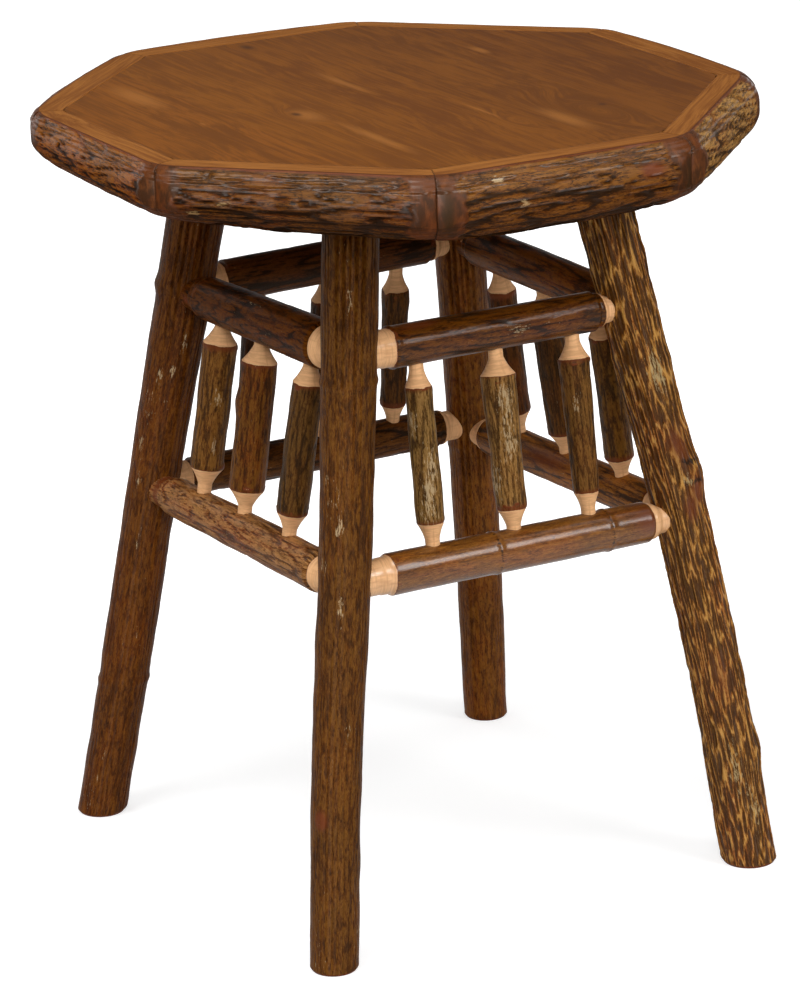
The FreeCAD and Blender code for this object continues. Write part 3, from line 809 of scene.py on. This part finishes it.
EFFECTS = {
    "bark": bark_effect(),
    "peeled": peeled_effect(),
    "plank": plank_effect(),
    "figure": figure_effect(),
}


def blank(name):
    material = bpy.data.materials.new(name)
    material.use_nodes = True
    material.node_tree.nodes.clear()
    return material, Sheet(material.node_tree)


def lay(sheet, kind, **inputs):
    """Puts an effect in a material with its own values, and gives what it puts out."""
    return sheet.add("Group", {"node_tree": EFFECTS[kind]}, **inputs).outputs


def stored(sheet, name):
    """A value, or for the grain and the stain a vector, stored at the points of a piece."""
    outputs = sheet.add("Attribute", {"attribute_name": name}).outputs
    return outputs["Vector"] if name in ("grain", "stain") else outputs["Fac"]


WARM_SHEEN = (1.0, 0.8, 0.58, 1.0)


def finish_surface(sheet, base, roughness, height, bump_depth, specular, coat=0.0):
    """Principled surface under oil or varnish, with a bump of so many metres."""
    bump = sheet.add("Bump", Height=height, Distance=bump_depth, Strength=0.6)
    shader = sheet.add(
        "BsdfPrincipled",
        Base_Color=base,
        Roughness=roughness,
        Normal=bump.outputs[0],
        Specular_IOR_Level=specular,
        Specular_Tint=WARM_SHEEN,
        Coat_Weight=coat,
        Coat_Roughness=0.22,
    )
    sheet.add("OutputMaterial", Surface=shader.outputs[0])


# A pole's look where it has none of its own: how much the ridges' and furrows', the fibres' and the cracks'
# colours show, how much lichen there is, and the gloss. Each has its four colours: furrow, bark, warm
# patches and ridges.
POLE_LOOK = {
    "shares": (0.5, 0.9),
    "fibres": 0.55,
    "cracks": 0.3,
    "speckle": 0.25,
    "pale": "#b59c76",
    "rind": RED_RIND,
    "sheen": 0.15,
    "coat": 0.0,
}
# A rim log's shade is how much painted shade darkens its bark lower down.
RIM_LOOK = {**POLE_LOOK, "cracks": 0.85, "coat": 0.35, "shade": 1.0}
CREAM_WOOD = "#efba86"
UNDERSIDE_SHADE = (0.74, 0.6, 0.4, 1.0)  # painted shade, multiplied into the rim's bark lower down where the log turns away from the light
CUT_ROUGHNESS = 0.45


def bark_on(sheet, look):
    """The bark effect on a piece, in its own colours."""
    furrow, bark, warm, ridge = look["colours"].split()
    ridge_share, furrow_share = look["shares"]
    return lay(
        sheet,
        "bark",
        Grain=stored(sheet, "grain"),
        Relief=stored(sheet, "relief"),
        Stain=stored(sheet, "stain"),
        Furrow=furrow,
        Bark=bark,
        Warm=warm,
        Ridge=ridge,
        Pale=look["pale"],
        Ridge_share=ridge_share,
        Furrow_share=furrow_share,
        Fibre_share=look["fibres"],
        Crack_share=look["cracks"],
        Speckle=look["speckle"],
    )


def bark_material(node, look):
    """Bark under satin varnish that gives way to the rind and bare wood where the pole is cut."""
    look = {**POLE_LOOK, **look}
    material, sheet = blank("Bark of " + node.replace("_", " "))
    skin_of = bark_on(sheet, look)
    end = lay(
        sheet,
        "peeled",
        Grain=stored(sheet, "grain"),
        Depth=stored(sheet, "depth"),
        Bark=skin_of["Colour"],
        Rind=look["rind"],
        Wood=CREAM_WOOD,
    )
    height = sheet.plus(skin_of["Height"], sheet.times(end["Height"], 0.2))
    roughness = sheet.mix(end["Bare"], skin_of["Roughness"], CUT_ROUGHNESS)
    finish_surface(sheet, end["Colour"], roughness, height, 0.6 * MM, look["sheen"], look["coat"])
    return material


def plank(sheet, grain, dark, light, shift, strength):
    """The plank effect, with its lines moved along by a shift."""
    return lay(sheet, "plank", Grain=grain, Dark=dark, Light=light, Shift=shift, Strength=strength)


def rim_material(node, look, shift):
    """Bark of the rim, sanded to red-brown rind at the corners, and the sawn border on top."""
    look = {**RIM_LOOK, **look}
    material, sheet = blank("Bark of " + node.replace("_", " "))
    layers = ("grain", "depth", "sanded", "seam", "stain", "gloss")
    grain, depth, sanded, seam, stain, gloss = [stored(sheet, layer) for layer in layers]
    skin_of = bark_on(sheet, look)
    border = plank(sheet, grain, "#6e3e15", "#8e5925", shift, 1.0)
    clouds = sheet.noise(grain, 75, 3.0, 0.6, (1, 0.5, 1))
    mottles = sheet.noise(grain, 190, 3.0, 0.6, (1, 0.4, 1))
    smooth = sheet.tint("#3f230f", "#5c3014", clouds, 0.4, 0.62)
    smooth = sheet.tint(smooth, "#74401b", mottles, 0.46, 0.7, 0.6)
    smooth = sheet.tint(smooth, "#33230f", sheet.parts(stain)[2], 0.1, 0.9, 0.9)
    worn = sheet.tint(skin_of["Colour"], smooth, sanded, 0.15, 0.8)
    # Painted shade: lower down the log, where the gloss falls off, the bark is multiplied darker and
    # browner, as far as the look's shade says.
    lower = sheet.times(sheet.minus(1.0, gloss), look["shade"])
    worn = sheet.blend(lower, worn, UNDERSIDE_SHADE, "MULTIPLY")
    line = sheet.tint(worn, "#532a12", depth, 0.02, 0.3)
    base = sheet.tint(line, border["Colour"], depth, 0.9, 1.6)
    base = sheet.tint(base, "#1d1009", seam, 0.2, 0.9, 0.45)
    sawn = sheet.between(depth, 0.6, 1.4)
    height = sheet.mix(sawn, skin_of["Height"], border["Height"])
    height = sheet.mix(sheet.times(sanded, 0.75), height, 0.5)
    roughness = sheet.mix(sawn, skin_of["Roughness"], CUT_ROUGHNESS)
    roughness = sheet.mix(sheet.times(sanded, 0.7), roughness, 0.25)
    roughness = sheet.mix(gloss, 0.8, roughness)
    coat = sheet.times(sheet.times(sheet.minus(1.0, sawn), gloss), look["coat"])
    finish_surface(sheet, base, roughness, height, 0.5 * MM, 0.15, coat)
    return material


def board_material(name, shift, dark, light):
    material, sheet = blank(name)
    figure = lay(sheet, "figure", Position=sheet.position())
    wood = plank(sheet, figure["Grain"], dark, light, shift, 1.7)
    base = sheet.blend(sheet.times(figure["Pale"], 0.55), wood["Colour"], "#9c632a")
    base = sheet.blend(sheet.times(figure["Dark"], 0.9), base, "#43240b")
    finish_surface(sheet, base, 0.4, wood["Height"], 0.1 * MM, 0.08)
    return material


def plain_wood(name, dark, light, along):
    """Planed wood left raw, with its grain along one axis of the table."""
    material, sheet = blank(name)
    parts = sheet.parts(sheet.position())
    across = [parts[axis] for axis in range(3) if axis != along]
    wood = plank(sheet, sheet.vector(*across, parts[along]), dark, light, 3.0, 1.2)
    finish_surface(sheet, wood["Colour"], 0.6, wood["Height"], 0.2 * MM, 0.3)
    return material


def zinc():
    material, sheet = blank("Zinc plated steel")
    cloudy = sheet.noise(sheet.position(), 400, 3.0, 0.6)
    base = sheet.tint("#b9a468", "#d9d2bd", cloudy, 0.35, 0.65)
    bump = sheet.add("Bump", Height=cloudy, Distance=0.05 * MM).outputs[0]
    roughness = sheet.between(cloudy, 0.3, 0.7, 0.25, 0.45)
    shader = sheet.add("BsdfPrincipled", Base_Color=base, Roughness=roughness, Normal=bump, Metallic=1.0)
    sheet.add("OutputMaterial", Surface=shader.outputs[0])
    return material


# ---- Legs ----

LEFT_EDGE = -90  # turn of a mark that lies at its pole's left edge as seen from the front

# Each leg has the ridges of its bark, its look, and its marks: their kind, height in metres, turn in
# degrees, length and width in millimetres and strength. A width of 999 goes all round.
LEGS = {
    "leg_front": (
        Bark(11, 26, 4.0, 0.3, lump=0.9),
        {"colours": "#251002 #4e2908 #5c3007 #784d19", "speckle": 0.35, "shares": (0.4, 0.45)},
        [
            ("red", 0.145, -33, 9, 7, 1.3), ("lump", 0.145, -33, 14, 12, 2.0),
            ("pale", 0.415, -13, 13, 5, 0.8), ("pale", 0.341, -9, 15, 4, 0.8),
            ("pale", 0.378, -54, 12, 5, 0.7), ("pale", 0.225, 20, 18, 5, 0.5),
            ("lump", 0.542, 0, 4, 999, 1.3), ("dark", 0.537, 0, 1.6, 999, 0.5),
            # The narrow pale line at 0.623 facing the front is a painted highlight along the leg.
            ("pale", 0.623, 0, 26, 3, 0.6),
        ],
    ),
    "leg_left": (
        Bark(12, 26, 4.0, 0.3, lump=0.9),
        {"colours": "#260e01 #512705 #5d2b05 #794712", "speckle": 0.35, "shares": (0.4, 0.4)},
        [
            ("pale", 0.475, -25, 16, 4, 0.8), ("pale", 0.482, 3, 12, 4, 0.8),
            ("pale", 0.509, 18, 14, 4, 0.7), ("pale", 0.404, -46, 12, 5, 0.8),
            ("pale", 0.365, -36, 14, 4, 0.7), ("pale", 0.302, -14, 16, 4, 0.7),
            ("lump", 0.147, 0, 4, 999, 1.2), ("dark", 0.142, 0, 1.6, 999, 0.5),
            ("lump", 0.567, LEFT_EDGE, 8, 30, 2.4),
        ],
    ),
    "leg_back": (
        Bark(13, 24, 4.0, 0.25, lump=0.7),
        {"colours": "#321804 #65360c #74390b #8d571a", "speckle": 0.1, "shares": (0.4, 0.35)},
        [("lump", 0.33, 0, 4, 999, 1.0)],
    ),
    "leg_right": (
        Bark(14, 30, 3.1, 1.2, width=0.72, crested=True, lump=1.0, fine=0.3, patchy=0.05),
        {
            "colours": "#371e07 #814e18 #8b4b1a #c9944a",
            "shares": (0.8, 0.8),
            "fibres": 0.5,
            "speckle": 0.2,
            "pale": "#b39a6b",
            "coat": 0.15,
        },
        [
            ("pale", 0.503, 25, 24, 11, 0.9), ("lump", 0.512, 0, 5, 999, 1.0),
            ("lump", 0.403, 58, 22, 20, 6.5), ("dark", 0.414, 46, 4, 12, 1.1),
            ("dark", 0.394, 48, 4, 12, 1.0), ("pale", 0.396, 32, 10, 8, 0.7),
            ("red", 0.43, 30, 22, 12, 0.8), ("red", 0.385, 50, 16, 10, 0.9),
            ("red", 0.366, 24, 14, 8, 0.8), ("lump", 0.119, 78, 22, 20, 3.0),
            ("pale", 0.103, 5, 34, 9, 0.7), ("pale", 0.06, 35, 26, 8, 0.7), ("red", 0.2, 10, 30, 9, 0.5),
        ],
    ),
}
for node, (bark, look, marks) in LEGS.items():
    leg_piece(node, bark, bark_material(node, look), marks)

# ---- Rails ----

RAIL_SEGMENTS = 96
RAIL_SPACING = 1.3  # rings along a rail, in millimetres
RAIL_TRIM = 15 * MM  # hidden length left off inside each leg

# Each rail has its bark, its look, its marks, whose places are shares of its length, and how many
# millimetres further than its solid's it is peeled at each end.
RAILS = {
    "rail_upper_front_left": (
        Bark(21, 34, 4.6, 0.35),
        {"colours": "#1d0b01 #452002 #542502 #723e09", "rind": "#6b3a1b", "sheen": 0.06},
        [("dark", 0.357, -82, 26, 9, 1.0), ("red", 0.06, 7, 5, 6, 1.2), ("pale", 0.5, -60, 40, 3, 0.5)],
        (None, -3),
    ),
    "rail_lower_front_left": (
        Bark(22, 46, 4.2, 0.8, width=0.35, lump=1.0),
        {"colours": "#2d1907 #6e3e16 #793713 #c08b52", "speckle": 0.4, "shares": (0.45, 0.6)},
        [("lump", 0.218, -58, 12, 10, 2.4), ("red", 0.05, 0, 6, 999, 0.8)],
        (None, -4),
    ),
    "rail_upper_front_right": (
        Bark(23, 40, 4.6, 0.3),
        {"colours": "#1c0901 #452202 #532402 #744108", "coat": 0.35},
        [("red", 0.202, -76, 22, 8, 0.9), ("pale", 0.572, -5, 13, 6, 0.8), ("lump", 0.1, 0, 3, 999, 0.6)],
        (-1, -7),
    ),
    "rail_lower_front_right": (
        Bark(24, 80, 6, 0.08, lump=0.3, fine=0.04),
        {
            "colours": "#46250a #6f4114 #824716 #9d6727",
            "shares": (0.2, 0.35),
            "speckle": 0.0,
            "coat": 1.0,
        },
        [
            ("lump", 0.424, 0, 3, 999, 1.0), ("dark", 0.42, 0, 1.6, 999, 0.7),
            ("lump", 0.789, 0, 3, 999, 1.0), ("dark", 0.785, 0, 1.6, 999, 0.7),
            ("red", 0.907, -30, 22, 20, 0.8),
        ],
        (2, -2),
    ),
    "rail_upper_back_left": (
        Bark(25, 60, 5, 0.3),
        {"colours": "#1c0d04 #44230a #50260a #6b3c13"},
        [],
        (-4, -5),
    ),
    "rail_lower_back_left": (
        Bark(26, 50, 7, 0.7),
        {"colours": "#1c0c02 #452306 #522705 #72420f"},
        [],
        (-4, -6),
    ),
    "rail_upper_back_right": (
        Bark(27, 60, 5, 0.35),
        {"colours": "#261203 #5b2e07 #713408 #8d5313"},
        [],
        (None, None),
    ),
    "rail_lower_back_right": (
        Bark(28, 60, 5, 0.3),
        {"colours": "#2c1704 #6e3d0d #8a4a10 #ab691e"},
        [("red", 0.435, -30, 50, 12, 0.8)],
        (-4, 0),
    ),
}
for node, (bark, look, marks, peeled_further) in RAILS.items():
    material = bark_material(node, look)
    turned_piece(node, bark, material, RAIL_SEGMENTS, RAIL_SPACING, marks, RAIL_TRIM, peeled_further)

# ---- Spindles ----

SPINDLE_SEGMENTS = 80
SPINDLE_SPACING = 1.1
FIRST_SEED = 40
SPINDLE_LOOK = {"speckle": 0.35, "shares": (0.5, 0.6), "cracks": 0.2}
RED_RINGS = [("red", 0.2, 0, 5, 999, 0.8), ("red", 0.8, 0, 5, 999, 0.8)]  # where each is sharpened
SPINDLES = {
    "spindle_front_left_1": (
        "#291506 #563512 #663b12 #8f6028",
        [("pale", 0.565, 11, 12, 5, 0.8), ("pale", 0.348, 17, 12, 4, 0.8)],
    ),
    "spindle_front_left_2": ("#251103 #4c2709 #69330b #7c4e17", [("lump", 0.616, -90, 12, 14, 2.2)]),
    "spindle_front_left_3": ("#1e1004 #40280c #4d2c0c #714c20", []),
    "spindle_front_right_1": (
        "#291809 #5c3f1a #66431d #a07942",
        [
            ("pale", 0.473, 30, 19, 9, 0.8), ("pale", 0.35, 4, 15, 8, 0.8),
            ("pale", 0.66, -48, 18, 9, 0.8), ("pale", 0.25, 0, 12, 14, 0.65),
        ],
    ),
    "spindle_front_right_2": (
        "#2e1b0b #62421d #704820 #ad8045",
        [
            ("pale", 0.321, -54, 22, 11, 0.8),
            ("pale", 0.676, 15, 22, 11, 0.8),
            ("pale", 0.494, 18, 20, 11, 0.8),
        ],
    ),
    "spindle_front_right_3": ("#251406 #4f3111 #5d3411 #885d2a", [("pale", 0.6, -10, 12, 5, 0.7)]),
    "spindle_back_right_1": ("#231204 #492c0b #57310c #7d5219", []),
    "spindle_back_right_2": ("#1e0e02 #412607 #4e2908 #683d11", []),
    "spindle_back_right_3": ("#1c0b01 #3c1f04 #542204 #63360b", []),
    "spindle_back_left_1": ("#1f0f03 #422509 #502a07 #6b4011", [("lump", 0.731, 44, 12, 12, 2.2)]),
    "spindle_back_left_2": ("#140601 #2c1504 #361904 #4b2709", []),
    "spindle_back_left_3": ("#190801 #371904 #431e04 #5b2e09", []),
}
for number, (node, (colours, marks)) in enumerate(SPINDLES.items()):
    bark = Bark(FIRST_SEED + number, 40, 4.0, 0.6, lump=1.0, fine=0.2)
    material = bark_material(node, {**SPINDLE_LOOK, "colours": colours})
    turned_piece(node, bark, material, SPINDLE_SEGMENTS, SPINDLE_SPACING, marks + RED_RINGS)

# ---- Rim logs ----

PLAIN_RIM = {"colours": "#271404 #52310f #60350f #825520"}
BORDER_SHIFT = 0.7  # between the grains of the sawn borders of neighbouring logs

# The logs stand in their order round the table. Each has its bark, its look, how many millimetres it is
# sanded at each end, and its marks, whose places are shares of half its length from its middle.
RIMS = {
    "rim_log_right": (
        Bark(61, 60, 6.0, 1.8, width=0.5, slant=0.14, lump=0.8, fine=0.2, patchy=0.1),
        {"shade": 0.2, "colours": "#38220c #774e1f #7a471c #ba8c4a"},
        20,
        [],
    ),
    "rim_log_back_right": (Bark(62, 55, 10, 1.4), PLAIN_RIM, 20, []),
    "rim_log_back": (Bark(63, 55, 10, 1.3), PLAIN_RIM, 20, []),
    "rim_log_back_left": (Bark(64, 55, 10, 1.3), PLAIN_RIM, 20, []),
    "rim_log_left": (
        Bark(65, 55, 10, 1.2),
        PLAIN_RIM,
        18,
        [("lump", 0.35, 12, 26, 7, 3.0), ("dark", 0.35, 18, 30, 3, 1.1)],
    ),
    "rim_log_front_left": (
        Bark(66, 46, 6.5, 1.5, width=0.42, lump=1.0, fine=0.4, patchy=0.2),
        {
            "colours": "#291101 #623402 #723502 #9a5c0a",
            "shares": (0.35, 1.0),
            "coat": 0.1,
            "shade": 0.6,
        },
        16,
        [],
    ),
    "rim_log_front": (
        Bark(67, 46, 5.4, 2.1, width=0.6, lump=1.2, fine=0.5, patchy=0.2),
        {"colours": "#251102 #4e2c06 #5d2d05 #7b4c11", "speckle": 0.15},
        20,
        [
            ("pale", -0.71, 50, 9, 4, 1.0), ("pale", -0.47, 36, 8, 4, 0.9),
            ("lump", 0.02, 30, 12, 9, 2.2), ("dark", 0.02, 30, 4, 3, 1.0),
        ],
    ),
    "rim_log_front_right": (
        Bark(68, 56, 5.8, 2.2, width=0.6, lump=1.0, fine=0.5, patchy=0.2),
        {"colours": "#281502 #5b330a #693a08 #895819", "speckle": 0.1},
        19,
        [
            ("dark", -0.92, 34, 8, 26, 0.8), ("pale", -0.53, 12, 8, 4, 1.0),
            ("pale", -0.35, 35, 7, 4, 0.9), ("red", 0.63, 25, 14, 7, 1.1), ("dark", 0.95, 40, 8, 24, 0.8),
        ],
    ),
}
for side, (node, (bark, look, sanded, marks)) in enumerate(RIMS.items()):
    material = rim_material(node, look, side * BORDER_SHIFT)
    rim_piece(node, side, bark, material, sanded, marks)

# ---- Boards, bearers, dowels and screws, which keep their shape ----

BOARDS = [
    ("#643708", "#7d470e"),
    ("#663808", "#7b470d"),
    ("#613407", "#77440c"),
    ("#5d3206", "#73410b"),
    ("#5a2f05", "#6f3e09"),
]
BOARD_SHIFT = 0.37  # between the grains of neighbouring boards
kept = {
    f"top_board_{number}": board_material(f"Stained board {number}", BOARD_SHIFT * number, dark, light)
    for number, (dark, light) in enumerate(BOARDS, start=1)
}
kept |= {
    "bearer_left_right": plain_wood("Planed bearer, left to right", "#8f6437", "#b98a55", 0),
    "bearer_front_back": plain_wood("Planed bearer, front to back", "#8f6437", "#b98a55", 1),
    "rim_dowels": plain_wood("Dowel wood", "#b78a56", "#d8b07c", 0),
    "bearer_screws": zinc(),
}
for node, material in kept.items():
    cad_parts[node].data.materials.clear()
    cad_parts[node].data.materials.append(material)

# ---- Floor, light and camera ----

FLOOR_SIZE = 20
AMBIENT = 0.24  # strength of the light from all round
WHITE = (1, 1, 1, 1)


def seen_directly(sheet):
    """1 for whatever the camera, a mirror or glass shows, 0 for light that falls on the object."""
    path = sheet.add("LightPath")
    mirrored = sheet.larger(path.outputs["Is Glossy Ray"], path.outputs["Is Transmission Ray"])
    return path.outputs["Is Camera Ray"], mirrored


def floor():
    bm = bmesh.new()
    bmesh.ops.create_grid(bm, x_segments=1, y_segments=1, size=FLOOR_SIZE)
    mesh = bpy.data.meshes.new("floor")
    bm.to_mesh(mesh)
    bm.free()
    ground = bpy.data.objects.new("floor", mesh)
    bpy.context.scene.collection.objects.link(ground)
    material, sheet = blank("Pale floor")
    in_view, mirrored = seen_directly(sheet)
    away = sheet.vector_maths("LENGTH", sheet.position())
    glow = sheet.times(in_view, sheet.between(away, 0.4, 1.4, 0.62, 1.0))
    shader = sheet.add(
        "BsdfPrincipled",
        Base_Color=(0.6, 0.6, 0.6, 1),
        Roughness=0.9,
        Specular_IOR_Level=0.0,
        Emission_Color=WHITE,
        Emission_Strength=sheet.plus(glow, sheet.times(mirrored, 0.15)),
    )
    sheet.add("OutputMaterial", Surface=shader.outputs[0])
    mesh.materials.append(material)


def surroundings():
    """White in view, with a band of it near the ground in mirrors, and an even glow on the table."""
    world = bpy.data.worlds.new("studio")
    bpy.context.scene.world = world
    world.use_nodes = True
    world.node_tree.nodes.clear()
    sheet = Sheet(world.node_tree)
    in_view, mirrored = seen_directly(sheet)
    skyward = sheet.parts(sheet.add("TexCoord").outputs["Generated"])[2]
    backdrop = sheet.between(skyward, 0.03, 0.16, 1.0, 0.08)
    strength = sheet.mix(in_view, sheet.mix(mirrored, AMBIENT, backdrop), 1.0)
    background = sheet.add("Background", Color=WHITE, Strength=strength)
    sheet.add("OutputWorld", Surface=background.outputs[0])


def softbox(name, place, aim, size, power):
    lamp = bpy.data.lights.new(name, "AREA")
    lamp.shape = "RECTANGLE"
    lamp.size, lamp.size_y = size
    lamp.energy = power
    box = bpy.data.objects.new(name, lamp)
    bpy.context.scene.collection.objects.link(box)
    box.location = place
    box.rotation_euler = (Vector(aim) - Vector(place)).to_track_quat("-Z", "Y").to_euler()


def camera():
    eye = bpy.data.objects.new("camera", bpy.data.cameras.new("camera"))
    bpy.context.scene.collection.objects.link(eye)
    right = Vector((0.9606, 0.27636, -0.02942))
    down = Vector((0.05888, -0.30582, -0.95027))
    ahead = Vector((-0.27161, 0.9111, -0.31005))
    turn = Matrix((right, -down, -ahead)).transposed()
    eye.matrix_world = Matrix.Translation((1.14916, -3.87075, 1.67223)) @ turn.to_4x4()
    eye.data.lens = 156.29
    eye.data.sensor_width = 36
    eye.data.clip_start, eye.data.clip_end = 0.1, 60
    bpy.context.scene.camera = eye


floor()
surroundings()
softbox("key", (-0.7, -1.4, 2.9), (0, 0, 0.6), (1.2, 1.2), 30)
softbox("overhead", (0.3, 0.1, 2.8), (0, 0, 0.6), (2.6, 2.6), 24)
softbox("left", (-2.4, -2.2, 2.0), (0, 0, 0.4), (1.4, 1.4), 16)
softbox("right", (3.0, -0.9, 2.5), (0, 0, 0.4), (1.3, 1.3), 44)
softbox("back_left", (-2.7, 1.6, 2.2), (0, 0, 0.4), (1.3, 1.3), 12)
softbox("front", (1.2, -3.1, 2.1), (0, 0, 0.4), (1.4, 1.4), 44)
camera()
bpy.context.scene.view_settings.view_transform = "Standard"
